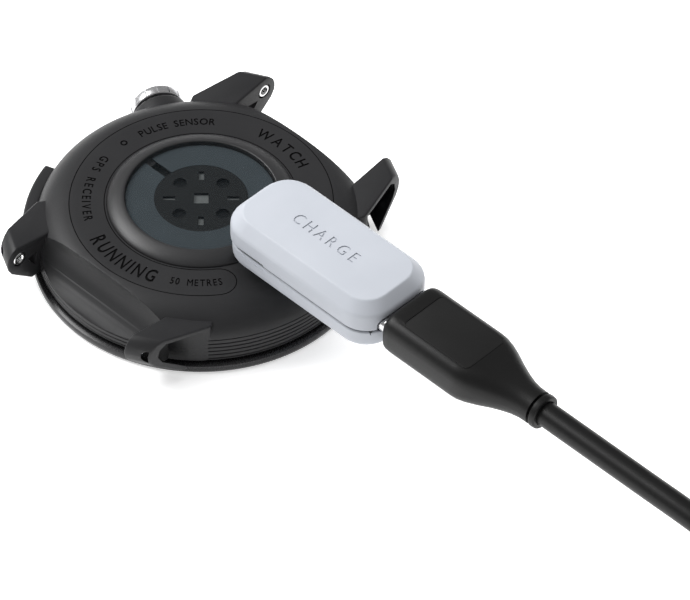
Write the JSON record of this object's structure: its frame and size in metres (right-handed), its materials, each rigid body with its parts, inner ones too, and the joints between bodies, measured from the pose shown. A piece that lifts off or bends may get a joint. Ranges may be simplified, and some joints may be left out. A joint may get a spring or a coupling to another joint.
{
  "type": "gps running watch",
  "caption": "Round GPS running watch without its strap, lying on its display, with a clip-on charging adapter and a USB-C cable plugged in.",
  "frame": {"origin": "centre of the display glass's outer face, which the watch lies on", "axes": "+Z out of the caseback, +Y towards twelve o'clock, +X towards nine o'clock, the side of the charging adapter"},
  "size_m": [0.1842, 0.0633, 0.019],
  "materials": {
    "case_polymer": "fine matt grain, dark grey",
    "bezel_coating": "dark satin coating on metal",
    "display_glass": "polished flat glass",
    "lens_glass": "polished, smoked, slightly domed",
    "display_black": "gloss black",
    "collar_satin": "satin dark grey",
    "gasket_rubber": "matt",
    "port_plastic": "matt black",
    "bushing_steel": "bright turned steel",
    "inner_steel": "stamped or turned steel",
    "crown_silver": "fine silver-grey satin",
    "board_green": "solder-resist green",
    "contact_gold": "gold plated",
    "battery_foil": "soft foil pouch",
    "led_white": "clear lens over a white package",
    "photodiode_dark": "smoked clear lens",
    "adapter_white": "white, fine satin",
    "plug_steel": "bright drawn steel",
    "plug_black": "matt black moulding",
    "cable_jacket": "smooth satin black jacket",
    "tie_strap": "matt black strap"
  },
  "bodies": {
    "watch_case": {"bezel_ring": "bezel_coating", "display_glass": "display_glass", "display_panel": "display_black", "case_gasket": "gasket_rubber", "display_frame": "inner_steel", "case_shell": "case_polymer", "lug_bushing_1": "bushing_steel", "lug_bushing_2": "bushing_steel", "lug_bushing_3": "bushing_steel", "lug_bushing_4": "bushing_steel", "main_board": "board_green", "processor_shield": "inner_steel", "gps_antenna": "contact_gold", "battery": "battery_foil", "vibration_motor": "inner_steel", "sensor_collar": "collar_satin", "sensor_glass": "lens_glass", "sensor_board": "board_green", "sensor_led_1": "led_white", "sensor_led_2": "led_white", "sensor_led_3": "led_white", "sensor_led_4": "led_white", "sensor_led_centre": "led_white", "photodiode_1": "photodiode_dark", "photodiode_2": "photodiode_dark", "photodiode_3": "photodiode_dark", "photodiode_4": "photodiode_dark", "charging_port_block": "port_plastic", "port_contacts": "contact_gold", "crown_bush": "inner_steel", "crown_seal": "gasket_rubber", "crown_switch": "inner_steel", "button_seal": "gasket_rubber", "button_switch": "inner_steel"},
    "crown_slider": {"crown_retaining_clip": "inner_steel"},
    "crown": {"crown_grip_ring": "crown_silver", "crown_end_plate": "display_black", "crown_stem": "inner_steel", "crown_encoder_wheel": "inner_steel"},
    "back_button": {"button_cap": "case_polymer", "button_stem": "inner_steel", "button_guide_pin_1": "inner_steel", "button_guide_pin_2": "inner_steel"},
    "charging_adapter": {"adapter_top_shell": "adapter_white", "adapter_bottom_shell": "adapter_white", "adapter_board": "board_green", "adapter_contact_nose": "adapter_white", "adapter_spring_pins": "contact_gold", "usb_receptacle": "plug_steel"},
    "usb_cable": {"plug_shell": "plug_steel", "plug_body": "plug_black", "plug_strain_collar": "plug_black", "cable_lead": "cable_jacket", "cable_coil": "cable_jacket", "cable_tail": "cable_jacket", "coil_tie_1": "tie_strap", "coil_tie_2": "tie_strap", "far_plug_shell": "plug_steel", "far_plug_body": "plug_black", "far_plug_strain_collar": "plug_black"}
  },
  "joints": [
    {"name": "crown_press", "type": "slide", "parent": "watch_case", "child": "crown_slider", "axis": [0.866, -0.5, 0], "range_m": [0, 0.00035], "stiffness_N_per_m": 1500, "springref_m": -0.0008},
    {"name": "crown_turn", "type": "hinge", "parent": "crown_slider", "child": "crown", "pos_m": [-0.02009, 0.0116, 0.0041], "axis": [-0.866, 0.5, 0], "continuous": true},
    {"name": "back_button_press", "type": "slide", "parent": "watch_case", "child": "back_button", "axis": [0.866, 0.5, 0], "range_m": [0, 0.0005], "stiffness_N_per_m": 1800, "springref_m": -0.0008},
    {"name": "adapter_lift", "type": "slide", "parent": "watch_case", "child": "charging_adapter", "axis": [0, 0, 1], "range_m": [0, 0.0012]},
    {"name": "plug_pull", "type": "slide", "parent": "charging_adapter", "child": "usb_cable", "axis": [1, 0, 0], "range_m": [0, 0.0059]}
  ]
}
